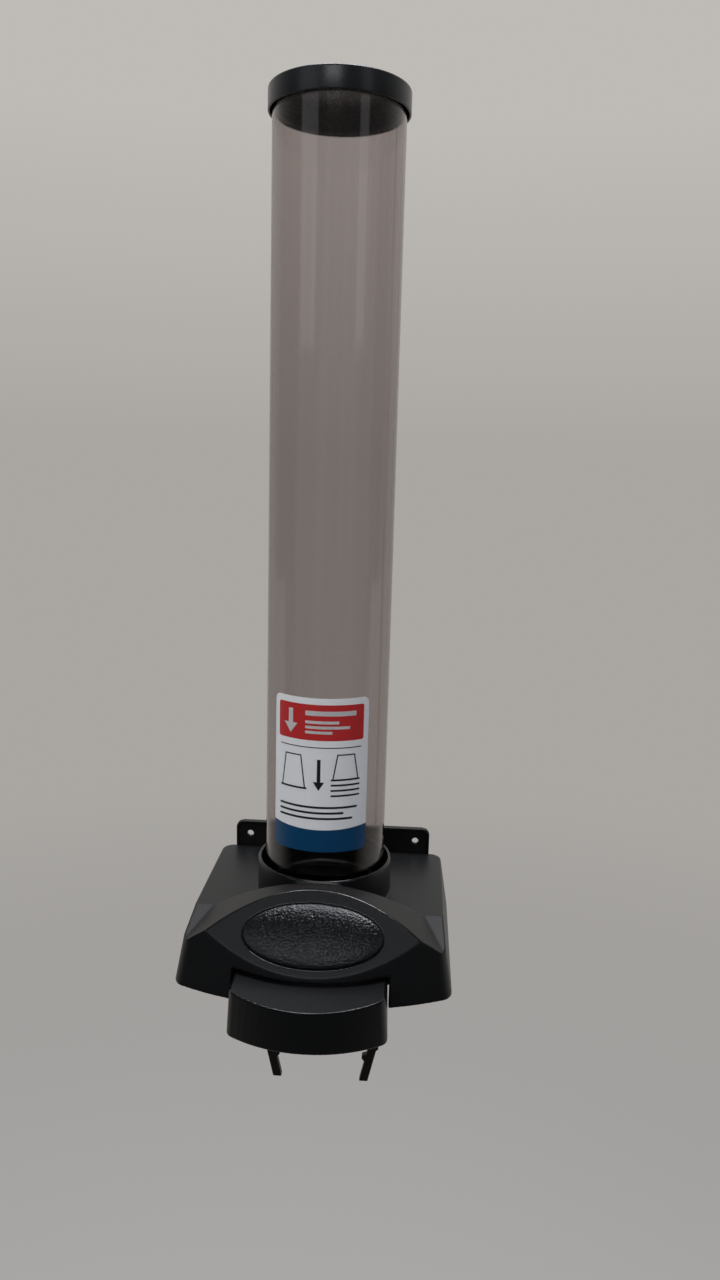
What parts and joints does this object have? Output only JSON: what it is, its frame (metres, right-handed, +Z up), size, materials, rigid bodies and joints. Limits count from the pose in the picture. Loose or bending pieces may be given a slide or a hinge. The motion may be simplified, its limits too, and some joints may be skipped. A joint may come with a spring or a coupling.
{
  "type": "cup dispenser",
  "caption": "Wall-mounted dispenser for stacked disposable cups: smoked tube with lift-off cap on a moulded body, front pusher that drops one cup through an open guide.",
  "frame": {"origin": "on the back face of the wall plate, midway between its two screw holes", "axes": "+Y into the wall, +Z up along the tube, +X to the right as seen by the user"},
  "size_m": [0.1698, 0.1775, 0.6323],
  "materials": {
    "cover_black": "fine satin texture, black",
    "frame_black": "plain matt, black",
    "inlay_black": "fine grain, black",
    "smoked_tube": "extruded clear, smoke tint",
    "label_film": "printed film",
    "acetal": "moulded, black",
    "steel": "zinc plated",
    "spring_steel": "drawn wire"
  },
  "bodies": {
    "base": {"wall_frame": "frame_black", "top_cover": "cover_black", "oval_badge": "inlay_black", "cup_tube": "smoked_tube", "tube_label": "label_film", "cup_guide": "frame_black", "claw_pin_right": "steel", "claw_pin_left": "steel", "claw_clip_right": "steel", "claw_clip_left": "steel", "return_spring_right": "spring_steel", "return_spring_left": "spring_steel", "slider_screw_right": "steel", "slider_screw_left": "steel", "cover_screw_1": "steel", "cover_screw_2": "steel", "cover_screw_3": "steel", "cover_screw_4": "steel", "guide_screw_1": "steel", "guide_screw_2": "steel", "guide_screw_3": "steel"},
    "cap": {"tube_cap": "cover_black"},
    "button": {"push_button": "cover_black", "release_slider": "acetal", "button_screw_left": "steel", "button_screw_right": "steel"},
    "claw_left_arm": {"claw_left": "acetal"},
    "claw_right_arm": {"claw_right": "acetal"}
  },
  "joints": [
    {"name": "cap_lift", "type": "slide", "parent": "base", "child": "cap", "axis": [0, 0, 1], "range_m": [0, 0.03]},
    {"name": "button_slide", "type": "slide", "parent": "base", "child": "button", "axis": [0, 1, 0], "range_m": [0, 0.008], "stiffness_N_per_m": 1500, "springref_m": -0.002, "deforming": ["return_spring_left", "return_spring_right"]},
    {"name": "claw_left_hinge", "type": "hinge", "parent": "base", "child": "claw_left_arm", "pos_m": [-0.0455, -0.063, -0.03], "axis": [0, 0, 1], "range_deg": [-19.15, 0]},
    {"name": "claw_right_hinge", "type": "hinge", "parent": "base", "child": "claw_right_arm", "pos_m": [0.0455, -0.063, -0.03], "axis": [0, 0, 1], "range_deg": [0, 19.15]}
  ],
  "couplings": [
    {"joint": "claw_left_hinge", "follows": "button_slide", "rad_per_m": -41.697},
    {"joint": "claw_right_hinge", "follows": "button_slide", "rad_per_m": 41.697}
  ]
}
